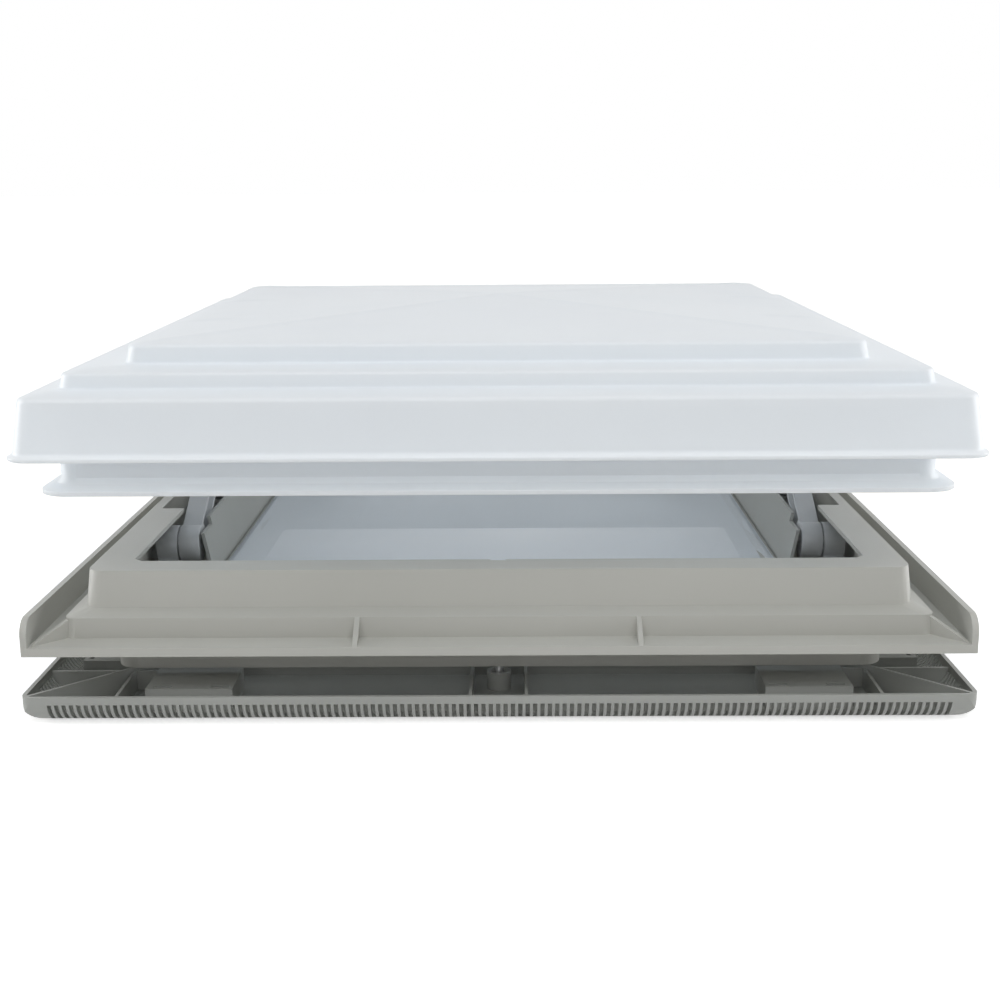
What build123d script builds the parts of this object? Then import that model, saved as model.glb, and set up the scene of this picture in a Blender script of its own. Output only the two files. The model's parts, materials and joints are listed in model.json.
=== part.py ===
from build123d import *
import os
from math import asin, cos, degrees, radians, sin, sqrt

os.makedirs("parts", exist_ok=True)

# Driving dimensions, in millimetres. The origin is the middle of the hatch at the underside of its
# ceiling trim. X runs left to right, the front is at -Y, and the lid is modelled raised.
# Square sizes are half widths, measured from the middle of the hatch.

# Heights that stack up from the ceiling to the roof
trim_rim_top = 15.0
flange_bottom = 35.5
flange_top = 40.0
step_top = 50.2
ledge_top = 53.2
ring_top = 72.0

# Outer frame
flange_half = 235.0
flange_corner_radius = 3.0
step_half = 219.0
step_wall = 2.5
step_draft = 0.8
ring_foot_half = 210.0
ring_top_half = 208.0
ring_wall = 2.8
ring_flange_thickness = 2.5
ring_corner_radius = 8.0
step_corner_radius = 6.0
opening_half = 189.0
opening_chamfer = 4.5
collar_half = 199.0
collar_bottom = 17.2
collar_wall = 2.5
collar_corner_radius = 12.0
frame_floor_thickness = 3.0
ledge_thickness = 2.7
deflector_top = 54.3
deflector_thickness = 3.2
deflector_end_radius = 9.0
rib_thickness = 2.5
front_rib_spacing = 141.0
front_rib_foot = 15.0
corner_rib_reach = 24.0
drain_notch_width = 8.0
drain_notch_depth = 2.0

# Ceiling trim
trim_half = 237.0
trim_edge_radius = 14.0
trim_corner_radius = 6.0
trim_wall = 2.2
trim_floor_thickness = 2.5
shaft_half = 168.0
shaft_draft_start = 38.0
shaft_low_top = 44.0
shaft_top = 62.0
shaft_crest_top = 67.0
shaft_high_length = 182.0
shaft_crest_length = 136.0
shaft_wall = 2.0
shaft_corner_radius = 5.0
louvre_pitch = 3.65
louvre_width = 2.1
louvre_bottom = 0.9
louvre_top = 11.0
louvre_band_half = 225.4
louvre_depth = 11.5
clip_box_inner = 134.2
clip_box_outer = 178.2
clip_box_near = 190.0
clip_box_far = 222.0
clip_box_top = 14.0
clip_box_wall = 1.8
clip_slot_length = 9.5
clip_slot_width = 2.4
clip_slot_inner = 141.0
clip_slot_outer = 170.0
clip_slot_far = 218.5
trim_rib_top = 13.0
trim_rib_place = 191.0
trim_rib_thickness = 1.6
boss_radius = 6.4
boss_top = 12.0
boss_rib_spacing = 28.0

# Fixing screws between trim and frame
fixing_place = 190.0
fixing_radius = 2.0
fixing_tip = 36.0
fixing_block_half = 6.0
fixing_block_bottom = 18.0
fixing_head_radius = 4.0
fixing_head_bottom = 2.0
fixing_head_height = 2.5
fixing_web = 2.5
cap_radius = 6.5
cap_thickness = 1.2

# Lid
lid_lip_bottom = 133.0
lid_lip_height = 3.2
lid_lip_half = 237.0
skirt_foot_half = 234.4
skirt_top_half = 231.2
skirt_top = 163.0
tier_one_half = 214.8
tier_one_foot = 165.3
tier_one_top = 173.0
tier_two_half = 188.0
tier_two_foot = 174.0
tier_two_top = 183.6
tier_draft = 1.2
tier_edge = 1.5
apex_height = 193.0
apex_half = 4.0
lid_wall = 2.5
lid_corner_radius = 10.0
lid_lip_corner_radius = 12.0
inner_skirt_half = 216.8
inner_lip_half = 225.5
inner_lip_bottom = 114.3
inner_lip_rise = 4.5
inner_lip_thickness = 2.2
inner_lip_width = 3.0
inner_lip_corner_radius = 16.0
inner_fold_reach = 2.0
inner_fold_rise = 3.0
seal_land = 136.0
dome_half = 202.0
dome_ceiling = 160.0
weld_flange_thickness = 2.0
weld_flange_corner_radius = 16.0
weld_gap = 0.2
lid_travel = 61.0
seal_thickness = 2.4
seal_inset = 0.8

# Arms and their hubs
arm_length = 182.0
arm_raised_angle = 30.0
pivot_place = 82.0
pivot_height = 54.0
hub_radius = 10.5
hub_plane_inner = 176.0
notch_front = 69.0
notch_rear = 78.0
notch_margin = 1.0
hub_half_length = 12.0
washer_gap = 1.0
washer_thickness = 0.8
washer_radius = 8.0
arm_thickness = 11.0
arm_hub_width = 8.0
arm_tip_radius = 6.5
arm_pocket_depth = 3.0
arm_pocket_wall = 2.4
pin_radius = 3.0
pin_recess = 2.5

# Pivot brackets
bracket_foot_thickness = 3.0
bracket_foot_length = 36.0
bracket_foot_outer = 204.5
bracket_web_length = 15.0
bracket_screw_place = 200.5
bracket_screw_spacing = 26.0
bracket_screw_radius = 1.5
bracket_screw_head_radius = 3.0
bracket_screw_head_height = 1.9
bracket_screw_tip = 36.2

# Lid brackets
ear_thickness = 3.0
ear_gap = 0.5
ear_end_margin = 13.0
ear_edge = 4.0
bracket_base_inner = 150.0
bracket_base_thickness = 3.0
bracket_rib_reach = 12.0
lid_screw_place = 158.0
lid_screw_spacing = 26.0
lid_screw_radius = 1.75
lid_screw_head_radius = 3.4
lid_screw_head_height = 2.0
lid_boss_radius = 4.5
lid_boss_height = 5.0
lid_boss_skin = 1.0
roller_radius = 4.5
roller_clearance = 0.3
tip_head_radius = 6.5
tip_head_height = 1.5

# Pull handles
handle_place = 165.0
handle_width = 120.0
handle_drop = 22.0
handle_depth = 14.0
handle_bar = 6.0
handle_post = 10.0
handle_edge_radius = 2.0

# Fly screen
screen_gap = 0.7
screen_bottom = 31.5
screen_thickness = 5.0
screen_bar = 9.0
mesh_thickness = 0.5
mesh_inset = 1.5
hinge_place = 160.0
hinge_pin_radius = 2.0
hinge_bar_width = 14.0
tab_width = 34.0
tab_depth = 13.0
tab_thickness = 2.5
tab_corner_radius = 3.7
hinge_pin_recess = 1.0
spring_clip_place = 110.0
spring_clip_width = 16.0
spring_clip_foot = 9.0
spring_clip_bulge = 0.4
spring_clip_rise = 2.0

# Clearances, and how far a cut or a joined piece runs past the face that it starts from
pin_clearance = 0.05
seat_gap = 0.3
screw_clearance = 0.05
overlap = 1.0

# Places that follow from the sizes
raised_rise = arm_length * sin(radians(arm_raised_angle))
closed_angle = degrees(asin((raised_rise - lid_travel) / arm_length))
raised_reach = arm_length * cos(radians(arm_raised_angle))
closed_reach = arm_length * cos(radians(closed_angle))
tip_height = pivot_height + raised_rise
middle_angle = radians((arm_raised_angle + closed_angle) / 2)
arc_rise = arm_length * sin(middle_angle) - raised_rise + lid_travel / 2
inner_plane = hub_plane_inner
outer_plane = hub_plane_inner + hub_half_length + washer_gap
barrel_outer = outer_plane + hub_half_length
arm_side_gap = (hub_half_length - arm_thickness) / 2
notch_half = barrel_outer + notch_margin
pin_bore = pin_radius + pin_clearance
frame_floor_top = flange_bottom + frame_floor_thickness
shaft_outside = shaft_half + shaft_wall
shaft_crest_half = hub_plane_inner - seat_gap - shaft_wall
weld_flange_half = skirt_top_half - lid_wall - tier_edge - weld_gap
screen_top = screen_bottom + screen_thickness
screen_half = shaft_half - screen_gap
screen_hinge_height = screen_bottom + screen_thickness / 2
sides = (("left", -1), ("right", 1))
ends = (("front", -1), ("rear", 1))


def rounded_square(half, height, radius):
    """A square face with rounded corners at a height, centred on the hatch."""
    with BuildSketch(Plane.XY.offset(height)) as outline:
        RectangleRounded(2 * half, 2 * half, radius)
    return outline.sketch


def block(half, bottom, top, radius, mode=Mode.ADD):
    """A square upright block with rounded corners, added to or cut from the open part."""
    extrude(rounded_square(half, bottom, radius), amount=top - bottom, mode=mode)


def drafted_block(levels, mode=Mode.ADD):
    """Square blocks lofted through levels, each a half width, a height and a corner radius."""
    for lower, upper in zip(levels, levels[1:]):
        loft([rounded_square(*lower), rounded_square(*upper)], ruled=True, mode=mode)


def box_between(low, high, mode=Mode.ADD):
    """A plain box from its lowest corner to its highest corner."""
    with Locations(low):
        Box(*(b - a for a, b in zip(low, high)), align=(Align.MIN, Align.MIN, Align.MIN), mode=mode)


def span(sign, near, far):
    """The lower and upper end of a stretch from near to far on one side of the middle."""
    return sorted((sign * near, sign * far))


def cylinder_x(start, end, y, z, radius, mode=Mode.ADD):
    """A round bar along X from one place to another."""
    with BuildSketch(Plane.YZ.offset(min(start, end))) as section:
        with Locations((y, z)):
            Circle(radius)
    extrude(section.sketch, amount=abs(end - start), mode=mode)


def cylinder_z(x, y, bottom, top, radius, mode=Mode.ADD):
    """An upright round bar from one height to another."""
    with BuildSketch(Plane.XY.offset(bottom)) as section:
        with Locations((x, y)):
            Circle(radius)
    extrude(section.sketch, amount=top - bottom, mode=mode)


def plate_x(points, x, thickness, mode=Mode.ADD):
    """A flat plate across X, centred on x, whose outline is given as (y, z) points."""
    with BuildSketch(Plane.YZ.offset(x)) as section:
        with BuildLine():
            Polyline(points, close=True)
        make_face()
    extrude(section.sketch, amount=thickness / 2, both=True, mode=mode)


def keep(part, name):
    """Labels a finished piece and writes it to its own file."""
    part.label = name
    export_step(part, f"parts/{name}.step")


# Outer frame: flange, step, sloping ledge, upstand ring and the neck through the roof
with BuildPart() as outer_frame:
    block(flange_half, flange_bottom, flange_top, flange_corner_radius)
    drafted_block([
        (step_half, flange_top, step_corner_radius),
        (step_half - step_draft, step_top, step_corner_radius),
    ])
    drafted_block([
        (step_half - step_draft, step_top, step_corner_radius),
        (ring_foot_half, ledge_top, ring_corner_radius),
        (ring_top_half, ring_top, ring_corner_radius),
    ])
    block(collar_half, collar_bottom, flange_bottom, collar_corner_radius)

    # The inside of the ring, the opening through its top flange and the bore of the neck
    drafted_block([
        (ring_foot_half - ring_wall, frame_floor_top, ring_corner_radius - ring_wall),
        (ring_top_half - ring_wall, ring_top - ring_flange_thickness, ring_corner_radius - ring_wall),
    ], Mode.SUBTRACT)
    with BuildSketch(Plane.XY.offset(ring_top - ring_flange_thickness)) as opening:
        Rectangle(2 * opening_half, 2 * opening_half)
        chamfer(opening.vertices(), opening_chamfer)
    extrude(opening.sketch, amount=ring_flange_thickness, mode=Mode.SUBTRACT)
    block(collar_half - collar_wall, collar_bottom, frame_floor_top,
          collar_corner_radius - collar_wall, Mode.SUBTRACT)

    # The channel under the ledge, open below
    with BuildSketch(Plane.XY.offset(flange_bottom)) as channel:
        RectangleRounded(2 * (step_half - step_draft - step_wall), 2 * (step_half - step_draft - step_wall),
                         step_corner_radius - step_wall)
        RectangleRounded(2 * ring_foot_half, 2 * ring_foot_half, ring_corner_radius, mode=Mode.SUBTRACT)
    extrude(channel.sketch, amount=step_top - ledge_thickness - flange_bottom, mode=Mode.SUBTRACT)

    # A block on each inner face of the neck, with the pilot hole of a fixing screw
    block_run = collar_half - collar_wall / 2 - fixing_place + fixing_block_half
    with PolarLocations(fixing_place - fixing_block_half + block_run / 2, 4):
        with Locations((0, 0, fixing_block_bottom)):
            Box(block_run, 2 * fixing_block_half, frame_floor_top - fixing_block_bottom,
                align=(Align.CENTER, Align.CENTER, Align.MIN))
    with PolarLocations(fixing_place, 4):
        with Locations((0, 0, fixing_block_bottom)):
            Cylinder(fixing_radius + screw_clearance, fixing_tip + seat_gap - fixing_block_bottom,
                     align=(Align.CENTER, Align.CENTER, Align.MIN), mode=Mode.SUBTRACT)

    # Notches that let the outer arms through the ring's top flange
    for side, sign in sides:
        x_low, x_high = span(sign, opening_half - overlap, notch_half)
        box_between((x_low, -notch_front, ring_top - ring_flange_thickness),
                    (x_high, notch_rear, ring_top), Mode.SUBTRACT)

    # Drain notch in the middle of the opening's front edge
    box_between((-drain_notch_width / 2, -opening_half - drain_notch_depth, ring_top - ring_flange_thickness),
                (drain_notch_width / 2, -opening_half + overlap, ring_top), Mode.SUBTRACT)

    # Wind deflector walls along the left and right edges
    for side, sign in sides:
        with BuildSketch(Plane.YZ.offset(sign * (flange_half - deflector_thickness / 2))) as wall:
            with Locations((0, (flange_bottom + deflector_top) / 2)):
                Rectangle(2 * flange_half, deflector_top - flange_bottom)
            fillet(wall.vertices().group_by(Axis.Y)[-1], deflector_end_radius)
        extrude(wall.sketch, amount=deflector_thickness / 2, both=True)

    # Upright ribs from the step to the edge of the flange, at the front and the rear
    step_face = step_half - step_draft - step_wall / 2
    for end, sign in ends:
        for x in (-front_rib_spacing / 2, front_rib_spacing / 2):
            plate_x([
                (sign * step_face, flange_top - overlap),
                (sign * step_face, step_top),
                (sign * (step_half - step_draft), step_top),
                (sign * (step_half + front_rib_foot), flange_top),
                (sign * (step_half + front_rib_foot), flange_top - overlap),
            ], x, rib_thickness)

    # Diagonal ribs from the step's corners to the flange's corners
    corner_start = step_half * sqrt(2) - step_corner_radius
    for turn in range(4):
        diagonal = Plane((0, 0, 0), x_dir=(1, 1, 0), z_dir=(1, -1, 0)).rotated((0, 0, 90 * turn))
        with BuildSketch(diagonal) as corner_rib:
            with BuildLine():
                Polyline(
                    (corner_start, flange_top - overlap),
                    (corner_start, step_top),
                    (corner_start + corner_rib_reach, flange_top),
                    (corner_start + corner_rib_reach, flange_top - overlap),
                    close=True,
                )
            make_face()
        extrude(corner_rib.sketch, amount=rib_thickness / 2, both=True)

    # Pilot holes for the screws of the pivot brackets
    for side, sign in sides:
        for end, along in ends:
            for offset in (-bracket_screw_spacing / 2, bracket_screw_spacing / 2):
                cylinder_z(sign * bracket_screw_place, along * pivot_place + offset,
                           bracket_screw_tip - seat_gap, frame_floor_top,
                           bracket_screw_radius + screw_clearance, Mode.SUBTRACT)
keep(outer_frame.part, "outer_frame")


# Ceiling trim: quarter-round edge with louvres, open channel with webs, and the drafted shaft
def rounded_tray(half, bottom, top, edge_radius, corner_radius):
    """A square tray block whose four lower edges are quarter-round, mitred at the corners."""
    with BuildPart() as tray:
        for plane, mode in ((Plane.XZ, Mode.ADD), (Plane.YZ, Mode.INTERSECT)):
            with BuildSketch(plane) as profile:
                with Locations((0, (bottom + top) / 2)):
                    Rectangle(2 * half, top - bottom)
                fillet(profile.vertices().group_by(Axis.Y)[0], edge_radius)
            extrude(profile.sketch, amount=half, both=True, mode=mode)
        block(half, bottom, top, corner_radius, Mode.INTERSECT)
    return tray.part


trim_outside = rounded_tray(trim_half, 0, trim_rim_top, trim_edge_radius, trim_corner_radius)
trim_inside = rounded_tray(trim_half - trim_wall, trim_floor_thickness, trim_rim_top + overlap,
                           trim_edge_radius - trim_wall, trim_corner_radius - trim_wall)

# Screw bosses with a rib on each side, short ribs, diagonal webs and clip boxes in the channel
with BuildPart() as channel_webs:
    rib_run = trim_half - shaft_outside
    with PolarLocations(shaft_outside + rib_run / 2, 4):
        for across in (-boss_rib_spacing / 2, boss_rib_spacing / 2, -trim_rib_place, trim_rib_place):
            with Locations((0, across, 0)):
                Box(rib_run, trim_rib_thickness, trim_rib_top, align=(Align.CENTER, Align.CENTER, Align.MIN))
    web_start = (shaft_half + shaft_wall / 2) * sqrt(2) - shaft_corner_radius / 2
    web_end = trim_half * sqrt(2)
    for turn in range(4):
        diagonal = Plane((0, 0, 0), x_dir=(1, 1, 0), z_dir=(0, 0, 1)).rotated((0, 0, 90 * turn))
        with BuildSketch(diagonal) as web:
            with Locations(((web_start + web_end) / 2, 0)):
                Rectangle(web_end - web_start, trim_rib_thickness)
        extrude(web.sketch, amount=trim_rim_top)
    with PolarLocations(fixing_place, 4):
        Cylinder(boss_radius, boss_top, align=(Align.CENTER, Align.CENTER, Align.MIN))

    # Two clip boxes on each side, hollow above the floor, with two slots in the top
    box_long = clip_box_outer - clip_box_inner
    box_wide = clip_box_far - clip_box_near
    for across in (-1, 1):
        middle = across * (clip_box_inner + clip_box_outer) / 2
        with PolarLocations((clip_box_near + clip_box_far) / 2, 4):
            with Locations((0, middle, 0)):
                Box(box_wide, box_long, clip_box_top, align=(Align.CENTER, Align.CENTER, Align.MIN))
            with Locations((0, middle, trim_floor_thickness)):
                Box(box_wide - 2 * clip_box_wall, box_long - 2 * clip_box_wall,
                    clip_box_top - clip_box_wall - trim_floor_thickness,
                    align=(Align.CENTER, Align.CENTER, Align.MIN), mode=Mode.SUBTRACT)
        with PolarLocations(clip_slot_far, 4):
            with Locations((0, across * clip_slot_inner, trim_floor_thickness),
                           (0, across * clip_slot_outer, trim_floor_thickness)):
                Box(clip_slot_width, clip_slot_length, clip_box_top,
                    align=(Align.CENTER, Align.CENTER, Align.MIN), mode=Mode.SUBTRACT)
    add(trim_outside, mode=Mode.INTERSECT)

with BuildPart() as ceiling_trim:
    add(trim_outside)
    add(trim_inside, mode=Mode.SUBTRACT)
    add(channel_webs.part)

    # Shaft wall, straight beside the fly screen and drafted outwards above it
    drafted_block([
        (shaft_outside, 0, shaft_corner_radius + shaft_wall),
        (shaft_outside, shaft_draft_start, shaft_corner_radius + shaft_wall),
        (shaft_crest_half + shaft_wall, shaft_crest_top, shaft_corner_radius + shaft_wall),
    ])

    # The shaft's bore
    drafted_block([
        (shaft_half, 0, shaft_corner_radius),
        (shaft_half, shaft_draft_start, shaft_corner_radius),
        (shaft_crest_half, shaft_crest_top, shaft_corner_radius),
    ], Mode.SUBTRACT)

    # The wall is low all round, but high beside the arms' hubs and highest between them
    lowered_width = 2 * (shaft_crest_half + shaft_wall + overlap)
    for height, length in ((shaft_low_top, shaft_high_length), (shaft_top, shaft_crest_length)):
        with BuildSketch(Plane.XY.offset(height)) as lowered:
            Rectangle(lowered_width, lowered_width)
            Rectangle(lowered_width, length, mode=Mode.SUBTRACT)
        extrude(lowered.sketch, amount=shaft_crest_top + overlap - height, mode=Mode.SUBTRACT)

    # The stepped holes of the fixing screws
    head_top = fixing_head_bottom + fixing_head_height
    with PolarLocations(fixing_place, 4):
        Cylinder(cap_radius + screw_clearance, cap_thickness,
                 align=(Align.CENTER, Align.CENTER, Align.MIN), mode=Mode.SUBTRACT)
        Cylinder(fixing_head_radius + screw_clearance, head_top,
                 align=(Align.CENTER, Align.CENTER, Align.MIN), mode=Mode.SUBTRACT)
        Cylinder(fixing_radius + screw_clearance, boss_top,
                 align=(Align.CENTER, Align.CENTER, Align.MIN), mode=Mode.SUBTRACT)
        with Locations((0, 0, head_top + fixing_web)):
            Cylinder(fixing_head_radius, boss_top - head_top - fixing_web,
                     align=(Align.CENTER, Align.CENTER, Align.MIN), mode=Mode.SUBTRACT)

    # Bores for the fly screen's hinge pins
    for side, sign in sides:
        cylinder_x(sign * (shaft_half - overlap), sign * (shaft_outside + overlap), hinge_place,
                   screen_hinge_height, hinge_pin_radius + pin_clearance, Mode.SUBTRACT)

    # Louvres in the quarter-round edge of every side
    louvre_count = int(2 * louvre_band_half / louvre_pitch)
    for turn in range(4):
        outward = Vector(0, -1, 0).rotate(Axis.Z, 90 * turn)
        middle = outward * (trim_half + overlap) + Vector(0, 0, (louvre_bottom + louvre_top) / 2)
        face = Plane(middle, x_dir=outward.rotate(Axis.Z, 90), z_dir=-outward)
        with BuildSketch(face) as louvres:
            with GridLocations(louvre_pitch, 1, louvre_count, 1):
                Rectangle(louvre_width, louvre_top - louvre_bottom)
        extrude(louvres.sketch, amount=louvre_depth + overlap, mode=Mode.SUBTRACT, clean=False)
keep(ceiling_trim.part, "ceiling_trim")


# Fixing screws, which clamp the roof between trim and frame, and their cover caps
with BuildPart() as fixing_screws:
    with PolarLocations(fixing_place, 4):
        with Locations((0, 0, fixing_head_bottom)):
            Cylinder(fixing_head_radius, fixing_head_height, align=(Align.CENTER, Align.CENTER, Align.MIN))
            Cylinder(fixing_radius, fixing_tip - fixing_head_bottom,
                     align=(Align.CENTER, Align.CENTER, Align.MIN))
            Cylinder(fixing_radius / 2, fixing_head_height / 2,
                     align=(Align.CENTER, Align.CENTER, Align.MIN), mode=Mode.SUBTRACT)
keep(fixing_screws.part, "fixing_screws")

with BuildPart() as screw_caps:
    with PolarLocations(fixing_place, 4):
        Cylinder(cap_radius, cap_thickness, align=(Align.CENTER, Align.CENTER, Align.MIN))
keep(screw_caps.part, "screw_caps")


# Pivot brackets: a foot on the frame's floor and half of the barrel that the arm turns on
def barrel_half(which):
    """Near and far end, from the middle, of the inner or outer half of a barrel."""
    start = inner_plane if which == "inner" else outer_plane
    return start, start + hub_half_length


def pivot_bracket(sign, along):
    """The bracket of one arm; the front ones hold the outer half of the barrel, the rear the inner."""
    near, far = barrel_half("outer" if along < 0 else "inner")
    y = along * pivot_place
    x_low, x_high = span(sign, near, far)
    foot_low, foot_high = span(sign, min(near, outer_plane), bracket_foot_outer)
    foot_top = frame_floor_top + bracket_foot_thickness
    with BuildPart() as bracket:
        box_between((foot_low, y - bracket_foot_length / 2, frame_floor_top),
                    (foot_high, y + bracket_foot_length / 2, foot_top))
        box_between((x_low, y - bracket_web_length / 2, foot_top - overlap),
                    (x_high, y + bracket_web_length / 2, pivot_height))
        cylinder_x(x_low, x_high, y, pivot_height, hub_radius)
        cylinder_x(x_low, x_high, y, pivot_height, pin_bore, Mode.SUBTRACT)
        for offset in (-bracket_screw_spacing / 2, bracket_screw_spacing / 2):
            cylinder_z(sign * bracket_screw_place, y + offset, frame_floor_top, foot_top,
                       bracket_screw_radius + screw_clearance, Mode.SUBTRACT)
    return bracket.part


# Arms: a lever with a round hub, pocketed on both sides, with a bore at its end
def arm(sign, along):
    """One arm; the front arms run in the inner plane and the rear arms in the outer plane."""
    near, far = barrel_half("inner" if along < 0 else "outer")
    y = along * pivot_place
    tip_y = y - along * raised_reach
    low, high = span(sign, near, far)
    with BuildPart() as lever:
        with BuildSketch(Plane.YZ.offset(low + arm_side_gap)) as outline:
            with Locations((y, pivot_height)):
                Circle(arm_hub_width)
            with Locations((tip_y, tip_height)):
                Circle(arm_tip_radius)
            make_hull()
        extrude(outline.sketch, amount=arm_thickness)
        for start, direction in ((low + arm_side_gap, 1), (high - arm_side_gap, -1)):
            with BuildSketch(Plane.YZ.offset(start)) as pocket:
                with Locations((y, pivot_height)):
                    Circle(arm_hub_width - arm_pocket_wall)
                with Locations((tip_y, tip_height)):
                    Circle(arm_tip_radius - arm_pocket_wall)
                make_hull()
                with Locations((y, pivot_height)):
                    Circle(hub_radius + arm_pocket_wall, mode=Mode.SUBTRACT)
                with Locations((tip_y, tip_height)):
                    Circle(arm_tip_radius + arm_pocket_wall, mode=Mode.SUBTRACT)
            extrude(pocket.sketch, amount=direction * arm_pocket_depth, mode=Mode.SUBTRACT)
        cylinder_x(low, high, y, pivot_height, hub_radius)
        cylinder_x(low, high, y, pivot_height, pin_bore, Mode.SUBTRACT)
        cylinder_x(low, high, tip_y, tip_height, pin_bore, Mode.SUBTRACT)
    return lever.part


def ear_span(along):
    """Near and far side, from the middle, of the slotted ear beside an arm."""
    near = barrel_half("inner" if along < 0 else "outer")[0] + arm_side_gap
    return near - ear_gap - ear_thickness, near - ear_gap


# Pins through the arms' ends: the head sits on the far side of the slotted ear
def tip_pin(sign, along):
    """The headed pin at the end of one arm."""
    near = barrel_half("inner" if along < 0 else "outer")[0]
    tip_y = along * (pivot_place - raised_reach)
    head_start = ear_span(along)[0] - ear_gap - tip_head_height
    head_end = head_start + tip_head_height
    pin_end = near + arm_side_gap + arm_thickness
    with BuildPart() as pin:
        cylinder_x(sign * head_start, sign * pin_end, tip_y, tip_height, pin_radius)
        cylinder_x(sign * head_start, sign * head_end, tip_y, tip_height, tip_head_radius)
    return pin.part


def tip_roller(sign, along):
    """The roller on one arm's pin, which runs in the slot of the lid bracket."""
    near, far = ear_span(along)
    tip_y = along * (pivot_place - raised_reach)
    with BuildPart() as roller:
        cylinder_x(sign * near, sign * far, tip_y, tip_height, roller_radius)
        cylinder_x(sign * near, sign * far, tip_y, tip_height, pin_bore, Mode.SUBTRACT)
    return roller.part


# Lid brackets: a base under the lid's dome and a slotted ear for the arm's roller
ear_y_raised = pivot_place - raised_reach
ear_y_closed = pivot_place - closed_reach
slot_height = 2 * (roller_radius + roller_clearance) + arc_rise
slot_middle_height = tip_height + arc_rise / 2
ear_bottom = slot_middle_height - slot_height / 2 - ear_edge


def lid_bracket(sign, along):
    """The bracket on the lid for one arm."""
    near, far = ear_span(along)
    slot_y = along * (ear_y_raised + ear_y_closed) / 2
    y_low, y_high = sorted((along * (ear_y_closed - ear_end_margin), along * (ear_y_raised + ear_end_margin)))
    base_bottom = dome_ceiling - bracket_base_thickness
    with BuildPart() as bracket:
        with BuildSketch(Plane.YZ.offset(min(sign * near, sign * far))) as ear:
            with Locations(((y_low + y_high) / 2, (ear_bottom + dome_ceiling) / 2)):
                Rectangle(y_high - y_low, dome_ceiling - ear_bottom)
            fillet(ear.vertices().group_by(Axis.Y)[0], ear_edge)
            with Locations((slot_y, slot_middle_height)):
                SlotCenterToCenter(abs(ear_y_closed - ear_y_raised), slot_height, mode=Mode.SUBTRACT)
        extrude(ear.sketch, amount=ear_thickness)
        x_low, x_high = span(sign, bracket_base_inner, near + overlap)
        box_between((x_low, y_low, base_bottom), (x_high, y_high, dome_ceiling))
        for y in (y_low + rib_thickness / 2, y_high - rib_thickness / 2):
            with BuildSketch(Plane.XZ.offset(-y)) as rib:
                with BuildLine():
                    Polyline(
                        (sign * (near + overlap), base_bottom + overlap),
                        (sign * (near + overlap), base_bottom - bracket_rib_reach),
                        (sign * near, base_bottom - bracket_rib_reach),
                        (sign * (near - bracket_rib_reach), base_bottom),
                        (sign * (near - bracket_rib_reach), base_bottom + overlap),
                        close=True,
                    )
                make_face()
            extrude(rib.sketch, amount=rib_thickness / 2, both=True)
        for offset in (-lid_screw_spacing / 2, lid_screw_spacing / 2):
            cylinder_z(sign * lid_screw_place, slot_y + offset, base_bottom, dome_ceiling,
                       lid_screw_radius + screw_clearance, Mode.SUBTRACT)
    return bracket.part


for side, sign in sides:
    for end, along in ends:
        keep(pivot_bracket(sign, along), f"pivot_bracket_{end}_{side}")
        keep(arm(sign, along), f"arm_{end}_{side}")
        keep(tip_pin(sign, along), f"arm_end_pin_{end}_{side}")
        keep(tip_roller(sign, along), f"arm_roller_{end}_{side}")
        keep(lid_bracket(sign, along), f"lid_bracket_{end}_{side}")


# Steel pins through hubs and brackets, with a friction washer between hub and bracket
with BuildPart() as pivot_pins:
    for side, sign in sides:
        for end, along in ends:
            cylinder_x(sign * (inner_plane + pin_recess), sign * (barrel_outer - pin_recess),
                       along * pivot_place, pivot_height, pin_radius)
keep(pivot_pins.part, "pivot_pins")

with BuildPart() as friction_washers:
    washer_start = inner_plane + hub_half_length + (washer_gap - washer_thickness) / 2
    for side, sign in sides:
        for end, along in ends:
            for radius, mode in ((washer_radius, Mode.ADD), (pin_bore, Mode.SUBTRACT)):
                cylinder_x(sign * washer_start, sign * (washer_start + washer_thickness),
                           along * pivot_place, pivot_height, radius, mode)
keep(friction_washers.part, "friction_washers")

with BuildPart() as pivot_bracket_screws:
    foot_top = frame_floor_top + bracket_foot_thickness
    head_top = foot_top + bracket_screw_head_height
    drive_bottom = foot_top + bracket_screw_head_height / 2
    for side, sign in sides:
        for end, along in ends:
            for offset in (-bracket_screw_spacing / 2, bracket_screw_spacing / 2):
                x = sign * bracket_screw_place
                y = along * pivot_place + offset
                cylinder_z(x, y, bracket_screw_tip, drive_bottom, bracket_screw_radius)
                cylinder_z(x, y, foot_top, head_top, bracket_screw_head_radius)
                cylinder_z(x, y, drive_bottom, head_top, bracket_screw_radius / 2, Mode.SUBTRACT)
keep(pivot_bracket_screws.part, "pivot_bracket_screws")


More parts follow.
